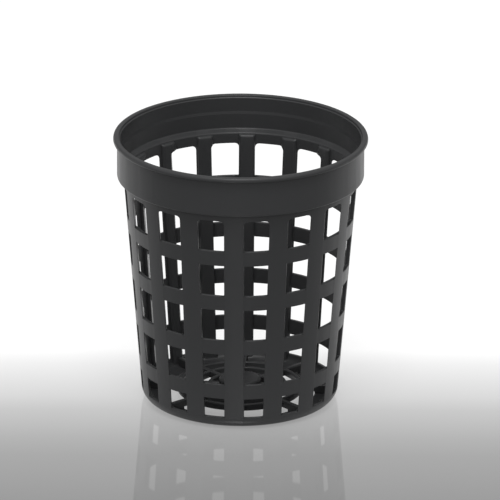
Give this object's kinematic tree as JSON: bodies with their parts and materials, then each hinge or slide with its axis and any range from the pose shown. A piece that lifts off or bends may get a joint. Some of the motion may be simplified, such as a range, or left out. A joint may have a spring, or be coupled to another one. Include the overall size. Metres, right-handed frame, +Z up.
{
  "type": "net pot",
  "caption": "Tapered round basket of upright ribs and level hoops with a plain collar, a rolled lip and a raised floor grid, for growing plants in water.",
  "frame": {"origin": "middle of the foot, on the ground", "axes": "+Z up along the pot's axis; one rib points along -Y, the front, and one along +X"},
  "size_m": [0.08, 0.08, 0.087],
  "materials": {
    "black_plastic": "satin, as moulded"
  },
  "bodies": {
    "root": {"net_pot": "black_plastic"}
  },
  "joints": []
}
